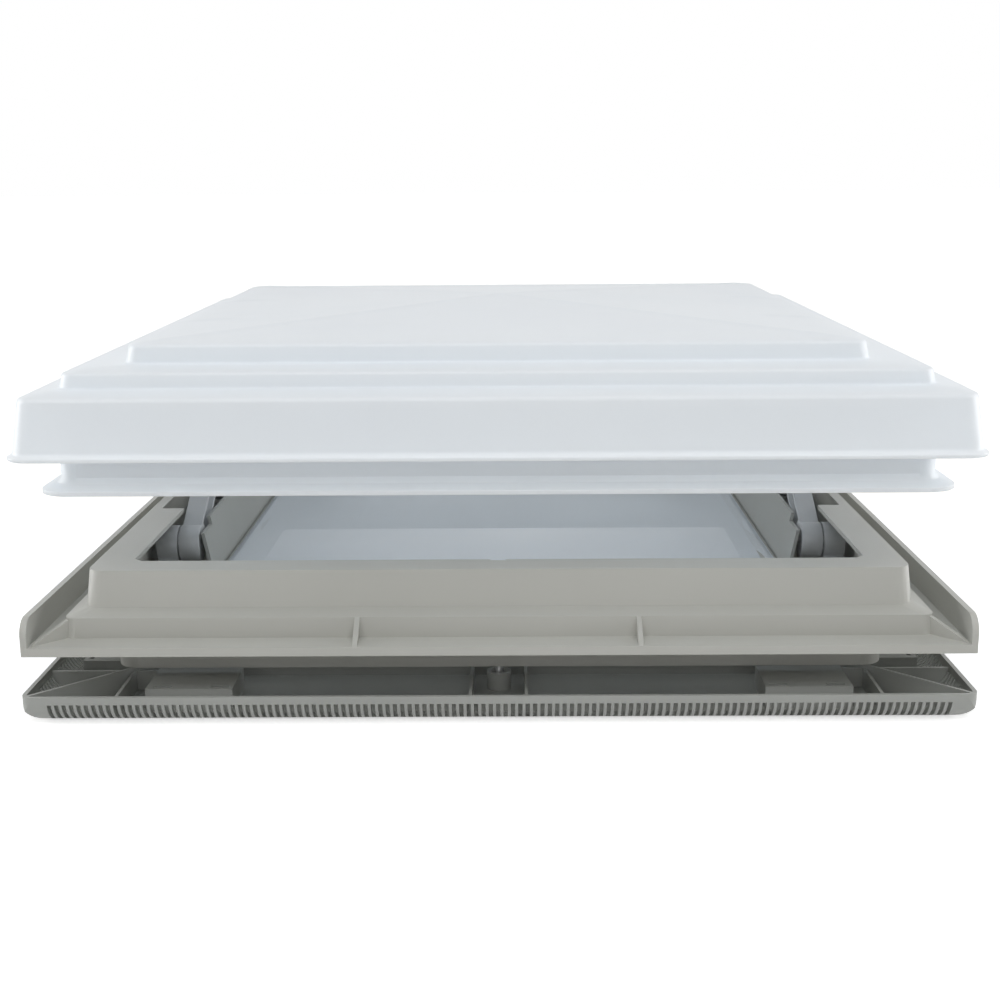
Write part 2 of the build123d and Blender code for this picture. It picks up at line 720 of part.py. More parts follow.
# Lid outer shell: skirt with a lip, two tiers and a low pyramid
def lid_levels(inset, bottom):
    """Levels of the skirt and tiers, moved inwards and down by an inset."""
    corner = lid_corner_radius - inset
    return [
        (skirt_foot_half - inset, bottom, corner),
        (skirt_top_half - inset, skirt_top - inset - tier_edge, corner),
        (skirt_top_half - inset - tier_edge, skirt_top - inset, corner - tier_edge),
        (tier_one_half - inset + tier_edge, tier_one_foot - inset, corner - tier_edge),
    ], [
        (tier_one_half - inset, tier_one_foot - inset, corner),
        (tier_one_half - inset - tier_draft, tier_one_top - inset - tier_edge, corner),
        (tier_one_half - inset - tier_draft - tier_edge, tier_one_top - inset, corner - tier_edge),
        (tier_two_half - inset + tier_edge, tier_two_foot - inset, corner - tier_edge),
    ], [
        (tier_two_half - inset, tier_two_foot - inset, corner),
        (tier_two_half - inset - tier_draft, tier_two_top - inset - tier_edge, corner),
        (tier_two_half - inset - tier_draft - tier_edge, tier_two_top - inset, corner - tier_edge),
        (apex_half, apex_height - inset, apex_half / 2),
    ]


with BuildPart() as lid_outer_shell:
    drafted_block([
        (lid_lip_half, lid_lip_bottom, lid_lip_corner_radius),
        (lid_lip_half, lid_lip_bottom + lid_lip_height / 2, lid_lip_corner_radius),
        (skirt_foot_half, lid_lip_bottom + lid_lip_height, lid_corner_radius),
    ])
    for levels in lid_levels(0, lid_lip_bottom + lid_lip_height):
        drafted_block(levels)
    drafted_block([
        (skirt_foot_half - lid_wall, lid_lip_bottom, lid_corner_radius - lid_wall),
        (skirt_foot_half - lid_wall, lid_lip_bottom + lid_lip_height, lid_corner_radius - lid_wall),
    ], Mode.SUBTRACT)
    for levels in lid_levels(lid_wall, lid_lip_bottom + lid_lip_height):
        drafted_block(levels, Mode.SUBTRACT)
keep(lid_outer_shell.part, "lid_outer_shell")


# Lid inner shell: turned-out lip, inner skirt, seal land and the dome that holds the brackets
shelf_underside = skirt_top - lid_wall
with BuildPart() as lid_inner_shell:
    corner = lid_corner_radius
    drafted_block([
        (inner_lip_half, inner_lip_bottom, inner_lip_corner_radius),
        (inner_lip_half, inner_lip_bottom + inner_lip_thickness, inner_lip_corner_radius),
        (inner_skirt_half + inner_fold_reach, inner_lip_bottom + inner_lip_rise, corner + inner_fold_reach),
        (inner_skirt_half, inner_lip_bottom + inner_lip_rise + inner_fold_rise, corner),
        (inner_skirt_half, shelf_underside, corner),
    ])
    block(weld_flange_half, shelf_underside - weld_flange_thickness, shelf_underside,
          weld_flange_corner_radius)

    # From below: the space inside the skirt and the space inside the dome
    drafted_block([
        (inner_lip_half - inner_lip_width, inner_lip_bottom, inner_lip_corner_radius - inner_lip_width),
        (inner_skirt_half - lid_wall, inner_lip_bottom + inner_lip_rise, corner - lid_wall),
        (inner_skirt_half - lid_wall, seal_land, corner - lid_wall),
    ], Mode.SUBTRACT)
    block(dome_half, seal_land, dome_ceiling, corner - lid_wall, Mode.SUBTRACT)

    # From above: the trough between dome and skirt
    with BuildSketch(Plane.XY.offset(seal_land + lid_wall)) as trough:
        RectangleRounded(2 * (inner_skirt_half - lid_wall), 2 * (inner_skirt_half - lid_wall),
                         corner - lid_wall)
        RectangleRounded(2 * (dome_half + lid_wall), 2 * (dome_half + lid_wall), corner, mode=Mode.SUBTRACT)
    extrude(trough.sketch, amount=shelf_underside - seal_land - lid_wall, mode=Mode.SUBTRACT)
    dome_top = dome_ceiling + lid_wall
    block(dome_half + lid_wall, shelf_underside, dome_top, corner)

    # Bosses above the dome for the screws of brackets and handles
    bracket_y = (ear_y_raised + ear_y_closed) / 2
    screw_top = dome_top + lid_boss_height - lid_boss_skin - seat_gap
    boss_places = []
    for side, sign in sides:
        for end, along in ends:
            for offset in (-lid_screw_spacing / 2, lid_screw_spacing / 2):
                boss_places.append((sign * lid_screw_place, along * bracket_y + offset))
            boss_places.append((sign * (handle_width - handle_post) / 2, along * handle_place))
    boss_top_height = dome_top + lid_boss_height
    for x, y in boss_places:
        cylinder_z(x, y, dome_top, boss_top_height, lid_boss_radius)
        cylinder_z(x, y, dome_ceiling, boss_top_height - lid_boss_skin,
                   lid_screw_radius + screw_clearance, Mode.SUBTRACT)
keep(lid_inner_shell.part, "lid_inner_shell")

with BuildPart() as lid_bracket_screws:
    head_bottom = dome_ceiling - bracket_base_thickness - lid_screw_head_height
    for side, sign in sides:
        for end, along in ends:
            for offset in (-lid_screw_spacing / 2, lid_screw_spacing / 2):
                x = sign * lid_screw_place
                y = along * bracket_y + offset
                cylinder_z(x, y, head_bottom, head_bottom + lid_screw_head_height, lid_screw_head_radius)
                cylinder_z(x, y, head_bottom, screw_top, lid_screw_radius)
                cylinder_z(x, y, head_bottom, head_bottom + lid_screw_head_height / 2, lid_screw_radius / 2,
                           Mode.SUBTRACT)
keep(lid_bracket_screws.part, "lid_bracket_screws")

# Foam seal on the land of the inner shell, which meets the ring's top when the lid is down
with BuildPart() as lid_seal:
    seal_outer = inner_skirt_half - lid_wall - seal_inset
    seal_inner = dome_half + seal_inset
    block(seal_outer, seal_land - seal_thickness, seal_land, lid_corner_radius - lid_wall)
    block(seal_inner, seal_land - seal_thickness, seal_land, lid_corner_radius - lid_wall, Mode.SUBTRACT)
keep(lid_seal.part, "lid_seal")


# Pull handles under the lid, at the front and the rear
def pull_handle(along):
    """A bar on two posts, screwed to the lid from inside the posts."""
    y = along * handle_place
    with BuildPart() as handle:
        with BuildSketch(Plane.XZ.offset(-y)) as loop:
            with Locations((0, dome_ceiling - handle_drop / 2)):
                Rectangle(handle_width, handle_drop)
            fillet(loop.vertices().group_by(Axis.Y)[0], handle_bar)
            with Locations((0, dome_ceiling - (handle_drop - handle_bar) / 2)):
                Rectangle(handle_width - 2 * handle_post, handle_drop - handle_bar, mode=Mode.SUBTRACT)
        extrude(loop.sketch, amount=handle_depth / 2, both=True)
        fillet(handle.faces().sort_by(Axis.Z)[0].edges(), handle_edge_radius)
        for sign in (-1, 1):
            x = sign * (handle_width - handle_post) / 2
            cylinder_z(x, y, dome_ceiling - handle_drop, dome_ceiling, lid_screw_radius + screw_clearance,
                       Mode.SUBTRACT)
            cylinder_z(x, y, dome_ceiling - handle_drop, dome_ceiling - handle_drop + handle_bar,
                       lid_screw_head_radius + screw_clearance, Mode.SUBTRACT)
    return handle.part


for end, along in ends:
    keep(pull_handle(along), f"pull_handle_{end}")

with BuildPart() as handle_screws:
    seat = dome_ceiling - handle_drop + handle_bar
    for end, along in ends:
        for sign in (-1, 1):
            x = sign * (handle_width - handle_post) / 2
            y = along * handle_place
            cylinder_z(x, y, seat - lid_screw_head_height, seat, lid_screw_head_radius)
            cylinder_z(x, y, seat - lid_screw_head_height, screw_top, lid_screw_radius)
keep(handle_screws.part, "handle_screws")


# Fly screen: a light frame hinged at the rear, with the net on top of it
with BuildPart() as flyscreen_frame:
    corner = shaft_corner_radius - screen_gap
    block(screen_half, screen_bottom, screen_top, corner)
    block(screen_half - screen_bar, screen_bottom, screen_top, corner, Mode.SUBTRACT)
    box_between((-screen_half + overlap, screen_half - hinge_bar_width, screen_bottom),
                (screen_half - overlap, screen_half - overlap, screen_top))
    for side, sign in sides:
        cylinder_x(sign * (screen_half - hinge_bar_width), sign * (screen_half + overlap), hinge_place,
                   screen_hinge_height, hinge_pin_radius + pin_clearance, Mode.SUBTRACT)
keep(flyscreen_frame.part, "flyscreen_frame")

with BuildPart() as flyscreen_mesh:
    block(screen_half - mesh_inset, screen_top, screen_top + mesh_thickness, shaft_corner_radius)
keep(flyscreen_mesh.part, "flyscreen_mesh")

with BuildPart() as flyscreen_tab:
    tab_front = -screen_half + screen_bar / 2
    box_between((-tab_width / 2, tab_front, screen_bottom - tab_thickness),
                (tab_width / 2, tab_front + tab_depth, screen_bottom))
    fillet(flyscreen_tab.edges().filter_by(Axis.Z), tab_corner_radius)
keep(flyscreen_tab.part, "flyscreen_tab")

with BuildPart() as flyscreen_hinge_pins:
    pin_start = screen_half - hinge_bar_width + hinge_pin_recess
    for side, sign in sides:
        cylinder_x(sign * pin_start, sign * shaft_outside, hinge_place, screen_hinge_height, hinge_pin_radius)
keep(flyscreen_hinge_pins.part, "flyscreen_hinge_pins")

# Spring clips on the front shaft wall, which press on the front of the fly screen's frame
with BuildPart() as flyscreen_clips:
    for sign in (-1, 1):
        x = sign * spring_clip_place
        plate_x([
            (-shaft_half, screen_bottom - spring_clip_foot),
            (-shaft_half + spring_clip_bulge, screen_bottom - spring_clip_foot),
            (-shaft_half + spring_clip_bulge, screen_top + spring_clip_rise),
            (-shaft_half, screen_top + spring_clip_rise),
        ], x, spring_clip_width)
keep(flyscreen_clips.part, "flyscreen_clips")
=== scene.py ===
# %% [markdown]
# # A roof hatch for a caravan, dressed for its picture
# The construction of this hatch is ready: frame, trim, lid, arms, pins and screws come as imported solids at
# their real size. This lesson gives them their finish and replaces two of them by finer surfaces. In
# Blender one could import the solids by hand and paint them one by one. A script does the same work the same
# way every time, so it is written as one, in small steps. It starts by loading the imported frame.

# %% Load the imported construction
import json
from math import cos, radians, sin

import bpy
import numpy as np
from mathutils import Matrix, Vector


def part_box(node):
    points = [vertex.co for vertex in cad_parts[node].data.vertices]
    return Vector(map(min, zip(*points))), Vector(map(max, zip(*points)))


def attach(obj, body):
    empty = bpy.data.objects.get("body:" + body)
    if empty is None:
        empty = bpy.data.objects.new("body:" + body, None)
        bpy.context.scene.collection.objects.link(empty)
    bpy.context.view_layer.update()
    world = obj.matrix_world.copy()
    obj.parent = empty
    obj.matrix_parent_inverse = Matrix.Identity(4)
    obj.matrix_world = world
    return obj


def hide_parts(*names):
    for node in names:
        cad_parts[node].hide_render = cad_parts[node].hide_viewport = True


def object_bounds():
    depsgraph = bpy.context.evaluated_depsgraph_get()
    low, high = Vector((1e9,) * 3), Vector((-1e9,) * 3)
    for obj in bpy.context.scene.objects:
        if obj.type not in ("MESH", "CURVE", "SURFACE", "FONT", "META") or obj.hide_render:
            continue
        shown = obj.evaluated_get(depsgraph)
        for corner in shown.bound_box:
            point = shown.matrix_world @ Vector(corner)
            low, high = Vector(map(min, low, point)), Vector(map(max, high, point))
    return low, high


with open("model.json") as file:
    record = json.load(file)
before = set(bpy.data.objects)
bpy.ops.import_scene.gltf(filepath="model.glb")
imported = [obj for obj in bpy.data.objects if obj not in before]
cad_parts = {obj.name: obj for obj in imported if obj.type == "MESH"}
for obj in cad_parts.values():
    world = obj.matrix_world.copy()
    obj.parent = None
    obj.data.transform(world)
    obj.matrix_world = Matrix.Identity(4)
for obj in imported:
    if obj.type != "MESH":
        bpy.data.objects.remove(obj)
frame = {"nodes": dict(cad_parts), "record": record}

MM = 0.001
nodes = frame["nodes"]
cad_low, cad_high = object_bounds()
size_mm = [round((high - low) / MM, 1) for low, high in zip(cad_low, cad_high)]
print("loaded", len(nodes), "solids, overall size in mm", size_mm)

# %% [markdown]
# ## The camera
# A photographer stands a camera where the front of the hatch fills the frame and tilts it a little down, so
# that both the lid's top and the space below the lid show. The place and the tilt could be tried by eye. Here
# they were worked out from the known square shape of the hatch, and the focal length is given as a share of
# the picture's width, because that stays true at any picture size.

# %% Place the camera
CAMERA_PLACE = (8.56, -917.34, 269.09)
TILT_DOWN = radians(12.82)
TURN_LEFT = radians(0.58)
LEAN = radians(-0.43)
FOCAL_SHARE = 1.46045
SENSOR_WIDTH = 36.0


def camera_turn(tilt, turn, lean):
    """The camera's axes as columns: right, up and backwards, from its tilt, its turn and its lean.

    Forward is the front direction turned left and tilted down. Right and up are square to it, and both are
    turned about it by the lean.
    """
    forward = np.array([-sin(turn) * cos(tilt), cos(turn) * cos(tilt), -sin(tilt)])
    right = np.array([cos(turn), sin(turn), 0.0])
    up = np.cross(right, forward)
    leaned_right = cos(lean) * right + sin(lean) * up
    leaned_up = cos(lean) * up - sin(lean) * right
    return np.column_stack([leaned_right, leaned_up, -forward])


camera_data = bpy.data.cameras.new("photo_camera")
camera_data.sensor_width = SENSOR_WIDTH
camera_data.lens = FOCAL_SHARE * SENSOR_WIDTH
camera_data.clip_start = 0.01
camera_data.clip_end = 60.0
camera = bpy.data.objects.new("photo_camera", camera_data)
camera_matrix = np.eye(4)
camera_matrix[:3, :3] = camera_turn(TILT_DOWN, TURN_LEFT, LEAN)
camera_matrix[:3, 3] = np.array(CAMERA_PLACE) * MM
camera.matrix_world = Matrix(camera_matrix.tolist())
bpy.context.scene.collection.objects.link(camera)
bpy.context.scene.camera = camera
print("lens in mm", round(camera_data.lens, 2))

# %% [markdown]
# ## Nodes in short sentences
# A material is a small tree of nodes. Clicking them together is fine for one material, but a dozen finishes
# are easier to read as text. One helper adds a node, sets its properties and fills or links its inputs, and
# another opens an empty group with named sockets.

# %% Helpers for node trees
def add_node(tree, kind, inputs=None, **settings):
    """One node in a tree, with its properties, and each input given a value or linked to a socket."""
    made = tree.nodes.new(kind)
    for name, value in settings.items():
        setattr(made, name, value)
    for name, value in (inputs or {}).items():
        if isinstance(value, bpy.types.NodeSocket):
            tree.links.new(value, made.inputs[name])
        else:
            made.inputs[name].default_value = value
    return made


def maths(tree, operation, first, second=0.0):
    """The output of one Math node."""
    made = add_node(tree, "ShaderNodeMath", {0: first, 1: second}, operation=operation)
    return made.outputs[0]


def stretch(tree, value, low, high, to_low=0.0, to_high=1.0):
    """The output of one Map Range node: low to high becomes to_low to to_high, and is held at both ends."""
    made = add_node(tree, "ShaderNodeMapRange", {
        "Value": value, "From Min": low, "From Max": high, "To Min": to_low, "To Max": to_high})
    return made.outputs["Result"]


def new_group(name, inputs, outputs):
    """An empty node group with number inputs, given with their first values, and number outputs."""
    group = bpy.data.node_groups.new(name, "ShaderNodeTree")
    for socket, value in inputs.items():
        made = group.interface.new_socket(socket, in_out="INPUT", socket_type="NodeSocketFloat")
        made.default_value = value
    for socket in outputs:
        group.interface.new_socket(socket, in_out="OUTPUT", socket_type="NodeSocketFloat")
    entry = group.nodes.new("NodeGroupInput")
    leave = group.nodes.new("NodeGroupOutput")
    return group, entry, leave


def noise(tree, scale, detail=3.0, roughness=0.5, vector=None):
    """The value of one Noise Texture on the piece's own coordinates, in metres."""
    if vector is None:
        vector = add_node(tree, "ShaderNodeTexCoord").outputs["Object"]
    made = add_node(tree, "ShaderNodeTexNoise", {
        "Vector": vector, "Scale": scale, "Detail": detail, "Roughness": roughness})
    return made.outputs["Fac"]


# %% [markdown]
# ## The skin of moulded plastic
# Nearly every piece of the hatch is injection moulded. Such a skin has a fine spark-eroded grain that dulls
# its gloss, and very slow waves, where the plastic flowed and shrank, which bend its reflections. Both could
# be painted, but noise on the piece's own coordinates has no seams and the right size on every piece. The
# group puts out the two patterns, and each material decides how strongly it takes them.

# %% Group for moulded plastic
WAVES_OVER_GRAIN = 6.0

grain_group, entry, leave = new_group(
    "moulded_skin", {"Grain Scale": 1500.0, "Flow Scale": 9.0}, ["Grain", "Flow", "Height"])
grain = noise(grain_group, entry.outputs["Grain Scale"], detail=2.0, roughness=0.6)
flow = noise(grain_group, entry.outputs["Flow Scale"], detail=1.0, roughness=0.4)
flow_even = stretch(grain_group, flow, 0.3, 0.7)
waves = maths(grain_group, "MULTIPLY", flow_even, WAVES_OVER_GRAIN)
height = maths(grain_group, "ADD", waves, grain)
for socket, value in (("Grain", grain), ("Flow", flow_even), ("Height", height)):
    grain_group.links.new(value, leave.inputs[socket])
print("group", grain_group.name, "has", len(grain_group.nodes), "nodes")

# %% [markdown]
# ## Dust and handling
# A new hatch out of its box is clean, yet not sterile. A little dust settles on what faces up, and hands
# leave faint dull patches. Dust could be particles. A mask from the surface's direction, broken up by noise,
# is enough at this distance, and a second mask gives the patches.

# %% Group for dust and handling marks
dust_group, entry, leave = new_group(
    "dust_and_hands", {"Dust Scale": 60.0, "Hand Scale": 14.0}, ["Dust", "Hands"])
facing = add_node(dust_group, "ShaderNodeSeparateXYZ", {
    "Vector": add_node(dust_group, "ShaderNodeNewGeometry").outputs["Normal"]}).outputs["Z"]
upward = stretch(dust_group, facing, 0.3, 0.95)
specks = stretch(dust_group, noise(dust_group, entry.outputs["Dust Scale"], 6.0, 0.75), 0.45, 0.75)
dust = maths(dust_group, "MULTIPLY", upward, specks)
patches = stretch(dust_group, noise(dust_group, entry.outputs["Hand Scale"], 4.0, 0.6), 0.5, 0.68)
dust_group.links.new(dust, leave.inputs["Dust"])
dust_group.links.new(patches, leave.inputs["Hands"])
print("group", dust_group.name, "has", len(dust_group.nodes), "nodes")


# %% [markdown]
# ## Moulded plastics
# One function makes all the plastics: two close colours mixed by the slow flow pattern, a roughness that
# wanders a little, and a bump of grain. The frame is a warm light grey with a satin skin. The trim is the
# same plastic a shade darker and cooler. Every plastic gets its own colours and grain, so no two pieces look
# cut from the same block.
#
# The lid is different: its white sheet is thin, glossy and opal, so daylight comes through it and brightens
# the shaft. Tracing light inside the sheet alone would leave the shaft dark, because lamps are only seen
# straight on. So the sheet glows a little by subsurface scattering, and rays that ask whether a lamp can be
# seen pass through it. That is a stand-in for an opal sheet: how much light the real one lets through isn't
# known.

# %% Moulded plastics
DUST_COLOUR = (0.62, 0.60, 0.56, 1.0)
HAND_DULLING = 0.05
LIGHT_REACH = 0.02


def moulded_plastic(name, colour, second, roughness, grain_scale=1500.0, bump=0.05, dust=0.06, flow_scale=9.0,
                    glow=0.0, let_through=0.0):
    """A moulded plastic: two colours mixed by flow, a wandering roughness, bump grain and a trace of dust."""
    material = bpy.data.materials.new(name)
    material.use_nodes = True
    tree = material.node_tree
    shader = tree.nodes["Principled BSDF"]
    skin = add_node(tree, "ShaderNodeGroup", node_tree=grain_group)
    skin.inputs["Grain Scale"].default_value = grain_scale
    skin.inputs["Flow Scale"].default_value = flow_scale
    marks = add_node(tree, "ShaderNodeGroup", node_tree=dust_group)
    base = add_node(tree, "ShaderNodeMix", {
        "Factor": skin.outputs["Flow"], 6: (*colour, 1.0), 7: (*second, 1.0)}, data_type="RGBA")
    dusted = add_node(tree, "ShaderNodeMix", {
        "Factor": maths(tree, "MULTIPLY", marks.outputs["Dust"], dust), 6: base.outputs[2], 7: DUST_COLOUR},
        data_type="RGBA")
    tree.links.new(dusted.outputs[2], shader.inputs["Base Color"])
    grainy = stretch(tree, skin.outputs["Grain"], 0.3, 0.7, roughness - 0.04, roughness + 0.05)
    handled = maths(tree, "MULTIPLY_ADD", marks.outputs["Hands"], HAND_DULLING)
    tree.links.new(grainy, handled.node.inputs[2])
    tree.links.new(handled, shader.inputs["Roughness"])
    relief = add_node(tree, "ShaderNodeBump", {
        "Height": skin.outputs["Height"], "Strength": bump, "Distance": 0.0004})
    tree.links.new(relief.outputs["Normal"], shader.inputs["Normal"])
    if glow > 0.0:
        shader.inputs["Subsurface Weight"].default_value = glow
        shader.inputs["Subsurface Radius"].default_value = (1.0, 1.0, 1.0)
        shader.inputs["Subsurface Scale"].default_value = LIGHT_REACH
        shadow = add_node(tree, "ShaderNodeLightPath").outputs["Is Shadow Ray"]
        tree.links.new(stretch(tree, shadow, 0.0, 1.0, 1.0, 1.0 - let_through), shader.inputs["Alpha"])
    return material


finishes = {
    "frame_abs": moulded_plastic("frame_warm_grey", (0.47, 0.47, 0.435), (0.50, 0.50, 0.465), 0.42),
    "trim_abs": moulded_plastic("trim_grey", (0.36, 0.37, 0.35), (0.39, 0.40, 0.38), 0.45),
    "lid_white": moulded_plastic("lid_cool_white", (0.82, 0.865, 0.905), (0.835, 0.88, 0.915), 0.36,
                                 grain_scale=2600.0, bump=0.02, dust=0.03, flow_scale=5.0, glow=0.4,
                                 let_through=1.0),
    "lid_inner_white": moulded_plastic("lid_inner_cool_white", (0.76, 0.83, 0.90), (0.78, 0.845, 0.91), 0.36,
                                       grain_scale=2600.0, bump=0.02, dust=0.03, flow_scale=6.0, glow=0.9,
                                       let_through=1.0),
    "arm_grey": moulded_plastic("arm_nylon_grey", (0.54, 0.56, 0.57), (0.58, 0.595, 0.605), 0.40,
                                grain_scale=1100.0, bump=0.08),
    "handle_grey": moulded_plastic("handle_grey", (0.33, 0.335, 0.33), (0.36, 0.365, 0.36), 0.48),
    "roller_acetal": moulded_plastic("roller_acetal", (0.78, 0.77, 0.72), (0.82, 0.81, 0.76), 0.30,
                                     grain_scale=2200.0, bump=0.02),
}
print("plastics:", ", ".join(sorted(finishes)))

# %% [markdown]
# ## Zinc-plated and stainless steel
# Pins and screws are steel. Zinc plating is dull with a faint mottle, stainless steel is brighter and drawn,
# so its fine lines run along the wire. Metal needs something to reflect, and the white room round the
# hatch serves for that.

# %% Steels
def drawn_steel(name, colour, second, roughness, mottle_scale, line_stretch):
    """A bare or plated steel: mottled colour, fine lines along X and a roughness that follows them."""
    material = bpy.data.materials.new(name)
    material.use_nodes = True
    tree = material.node_tree
    shader = tree.nodes["Principled BSDF"]
    coordinates = add_node(tree, "ShaderNodeTexCoord").outputs["Object"]
    along = add_node(tree, "ShaderNodeMapping", {
        "Vector": coordinates, "Scale": (1.0, line_stretch, line_stretch)})
    lines = noise(tree, 400.0, 2.0, 0.6, along.outputs["Vector"])
    mottle = stretch(tree, noise(tree, mottle_scale, 4.0, 0.6), 0.35, 0.65)
    base = add_node(tree, "ShaderNodeMix", {"Factor": mottle, 6: (*colour, 1.0), 7: (*second, 1.0)},
                    data_type="RGBA")
    tree.links.new(base.outputs[2], shader.inputs["Base Color"])
    worn = stretch(tree, lines, 0.3, 0.7, roughness - 0.06, roughness + 0.08)
    tree.links.new(worn, shader.inputs["Roughness"])
    relief = add_node(tree, "ShaderNodeBump", {"Height": lines, "Strength": 0.1, "Distance": 0.00005})
    tree.links.new(relief.outputs["Normal"], shader.inputs["Normal"])
    shader.inputs["Metallic"].default_value = 1.0
    return material


finishes["steel"] = drawn_steel(
    "zinc_plated_steel", (0.60, 0.61, 0.62), (0.70, 0.70, 0.69), 0.38, 900.0, 3.0)
finishes["stainless"] = drawn_steel(
    "bright_stainless", (0.66, 0.66, 0.67), (0.72, 0.72, 0.72), 0.24, 300.0, 8.0)
print("steels:", finishes["steel"].name, finishes["stainless"].name)

# %% [markdown]
# ## Foam rubber
# The lid closes on a strip of closed-cell foam. Its skin is matt black and full of tiny pits. Cells make a
# better picture of that than plain noise, so their distance to the nearest cell centre is the relief.

# %% Foam rubber
foam = bpy.data.materials.new("seal_foam_black")
foam.use_nodes = True
foam_tree = foam.node_tree
foam_shader = foam_tree.nodes["Principled BSDF"]
foam_cells = add_node(foam_tree, "ShaderNodeTexVoronoi", {
    "Vector": add_node(foam_tree, "ShaderNodeTexCoord").outputs["Object"], "Scale": 1400.0})
foam_colour = add_node(foam_tree, "ShaderNodeMix", {
    "Factor": stretch(foam_tree, foam_cells.outputs["Distance"], 0.1, 0.8),
    6: (0.012, 0.012, 0.013, 1.0), 7: (0.035, 0.035, 0.037, 1.0)}, data_type="RGBA")
foam_tree.links.new(foam_colour.outputs[2], foam_shader.inputs["Base Color"])
foam_relief = add_node(foam_tree, "ShaderNodeBump", {
    "Height": foam_cells.outputs["Distance"], "Strength": 0.5, "Distance": 0.0002})
foam_tree.links.new(foam_relief.outputs["Normal"], foam_shader.inputs["Normal"])
foam_dullness = stretch(foam_tree, noise(foam_tree, 200.0), 0.3, 0.7, 0.75, 0.9)
foam_tree.links.new(foam_dullness, foam_shader.inputs["Roughness"])
finishes["seal_foam"] = foam
print("foam:", foam.name)

# %% [markdown]
# ## Fly net
# The net is woven from pale polyester thread, about seventeen threads to the centimetre. A model with every
# thread would be huge. One thin sheet does the same work when its material opens a small square hole between
# the threads: the piece's own coordinates, wrapped at the pitch of the weave, say where thread is and where
# not, and the same pattern raises the threads.

# %% Fly net
NET_PITCH = 0.0006
NET_OPEN_SHARE = 0.22

net = bpy.data.materials.new("fly_net_polyester")
net.use_nodes = True
net_tree = net.node_tree
net_shader = net_tree.nodes["Principled BSDF"]
net_place = add_node(net_tree, "ShaderNodeSeparateXYZ", {
    "Vector": add_node(net_tree, "ShaderNodeTexCoord").outputs["Object"]})


def thread_distance(tree, place):
    """How far a place lies from the middle of the nearest hole, from 0 to 0.5 of the pitch."""
    wrapped = maths(tree, "FRACT", maths(tree, "MULTIPLY", place, 1.0 / NET_PITCH))
    return maths(tree, "ABSOLUTE", maths(tree, "SUBTRACT", wrapped, 0.5))


across = thread_distance(net_tree, net_place.outputs["X"])
along = thread_distance(net_tree, net_place.outputs["Y"])
farther = maths(net_tree, "MAXIMUM", across, along)
hole_half = 0.5 * NET_OPEN_SHARE ** 0.5
thread = maths(net_tree, "GREATER_THAN", farther, hole_half)
cloudy = stretch(net_tree, noise(net_tree, 18.0, 3.0, 0.6), 0.3, 0.7)
net_colour = add_node(net_tree, "ShaderNodeMix", {
    "Factor": cloudy, 6: (0.76, 0.81, 0.84, 1.0), 7: (0.80, 0.845, 0.875, 1.0)}, data_type="RGBA")
net_tree.links.new(net_colour.outputs[2], net_shader.inputs["Base Color"])
net_tree.links.new(thread, net_shader.inputs["Alpha"])
net_relief = add_node(net_tree, "ShaderNodeBump", {"Height": farther, "Strength": 0.6, "Distance": 0.0002})
net_tree.links.new(net_relief.outputs["Normal"], net_shader.inputs["Normal"])
net_tree.links.new(stretch(net_tree, cloudy, 0.0, 1.0, 0.55, 0.7), net_shader.inputs["Roughness"])
net_shader.inputs["Sheen Weight"].default_value = 0.8
net_shader.inputs["Sheen Roughness"].default_value = 0.5
net_shader.inputs["Sheen Tint"].default_value = (0.88, 0.94, 1.0, 1.0)
finishes["net"] = net
print("net: pitch in mm", NET_PITCH / MM, "open share", NET_OPEN_SHARE)

# %% [markdown]
# ## Finish every solid
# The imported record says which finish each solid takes. A loop reads it and puts the right material into the
# solid's slot, so that no piece is forgotten and none is painted twice.

# %% Give every solid its finish
for part in frame["record"]["subparts"]:
    solid = nodes[part["node"]]
    solid.data.materials.clear()
    solid.data.materials.append(finishes[part["material_slot"]])

# %% [markdown]
# ## Soft edges on moulded pieces
# No moulded edge is truly sharp: it has a small radius that catches a thin line of light. The solids have
# knife edges. Their meshes stay as they are, and three modifiers do the work on top: Weld joins the loose
# triangles, Decimate in its planar mode melts them into whole faces, and Bevel rounds what is left.

# %% Round the edges of the solids
def soften(node, width, steps=2, sharp=35.0):
    """Rounds the edges of a solid that turn by more than an angle, by a width in millimetres."""
    solid = nodes[node]
    weld = solid.modifiers.new("join_triangles", "WELD")
    weld.merge_threshold = 0.001 * MM
    melt = solid.modifiers.new("melt_flat_faces", "DECIMATE")
    melt.decimate_type = "DISSOLVE"
    melt.angle_limit = radians(0.5)
    bevel = solid.modifiers.new("round_edges", "BEVEL")
    bevel.width = width * MM
    bevel.segments = steps
    bevel.limit_method = "ANGLE"
    bevel.angle_limit = radians(sharp)
    bevel.harden_normals = True
    bevel.use_clamp_overlap = True


# %% [markdown]
# ## Rings round a square
# The lid is a square with rounded corners whose outline changes with the height. Any such form is a stack of
# rings. A ring has the same points at every height, named by where they sit: on a corner arc or on a side.
# So the whole surface is a function of two parameters, the place along the profile and the place round the
# ring, and numpy works it out in one go.

# %% Rings and meshes
CORNER_STEPS = 8
SIDE_STEPS = 120


